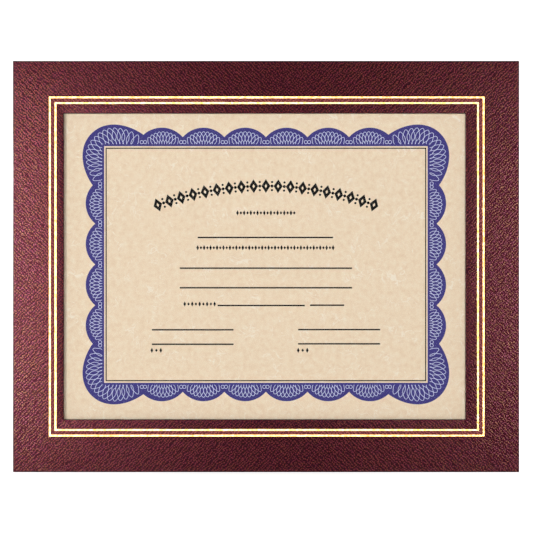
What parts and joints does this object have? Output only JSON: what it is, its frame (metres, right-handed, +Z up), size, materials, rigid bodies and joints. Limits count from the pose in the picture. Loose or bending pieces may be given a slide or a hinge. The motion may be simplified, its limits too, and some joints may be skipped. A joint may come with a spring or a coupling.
{
  "type": "certificate holder",
  "caption": "Leatherette certificate holder with stamped gold rules and a clear-faced slide-in pocket, standing on a fold-out easel leg, with ring hangers for the wall.",
  "frame": {"origin": "on the floor, under the middle of the standing holder's box", "axes": "+X to the right along the long edge as the certificate is read, +Y to the back, +Z up"},
  "size_m": [0.336, 0.1426, 0.2641],
  "materials": {
    "leatherette": "satin",
    "gold_foil": "polished",
    "greyboard": "matte",
    "clear_plastic": "gloss",
    "certificate_paper": "matte",
    "lining_paper": "matte",
    "black_paper": "matte",
    "book_cloth": "matte",
    "ribbon": "satin",
    "hanger_brass": "satin"
  },
  "bodies": {
    "frame": {"front_cover": "leatherette", "front_board": "greyboard", "gold_rule_inner": "gold_foil", "gold_rule_outer": "gold_foil", "spacer_left": "greyboard", "spacer_top": "greyboard", "spacer_bottom": "greyboard", "back_lining": "lining_paper", "back_board": "greyboard", "back_cover": "black_paper", "easel_flap_core": "greyboard", "easel_flap_paper": "black_paper", "hinge_cloth": "book_cloth", "stay_ribbon": "ribbon", "top_hanger_strap": "hanger_brass", "side_hanger_strap": "hanger_brass"},
    "certificate": {"certificate": "certificate_paper"},
    "face_sheet": {"face_sheet": "clear_plastic"},
    "easel_leg": {"easel_leg_core": "greyboard", "easel_leg_inner_paper": "black_paper", "easel_leg_outer_paper": "black_paper"},
    "top_ring": {"top_hanger_ring": "hanger_brass"},
    "side_ring": {"side_hanger_ring": "hanger_brass"}
  },
  "joints": [
    {"name": "easel_fold", "type": "hinge", "parent": "frame", "child": "easel_leg", "pos_m": [0, -0.01805, 0.16021], "axis": [-0.7071, 0.183, 0.683], "range_deg": [0, 34], "deforming": ["hinge_cloth", "stay_ribbon"]},
    {"name": "certificate_slide", "type": "slide", "parent": "frame", "child": "certificate", "axis": [1, 0, 0], "range_m": [0, 0.31]},
    {"name": "face_sheet_slide", "type": "slide", "parent": "frame", "child": "face_sheet", "axis": [1, 0, 0], "range_m": [0, 0.31]},
    {"name": "top_ring_swing", "type": "hinge", "parent": "frame", "child": "top_ring", "pos_m": [0, 0.00367, 0.2455], "axis": [1, 0, 0], "range_deg": [-15, 165]},
    {"name": "side_ring_swing", "type": "hinge", "parent": "frame", "child": "side_ring", "pos_m": [0.112, -0.02726, 0.13007], "axis": [0, -0.2588, -0.9659], "range_deg": [-90, 90]}
  ]
}
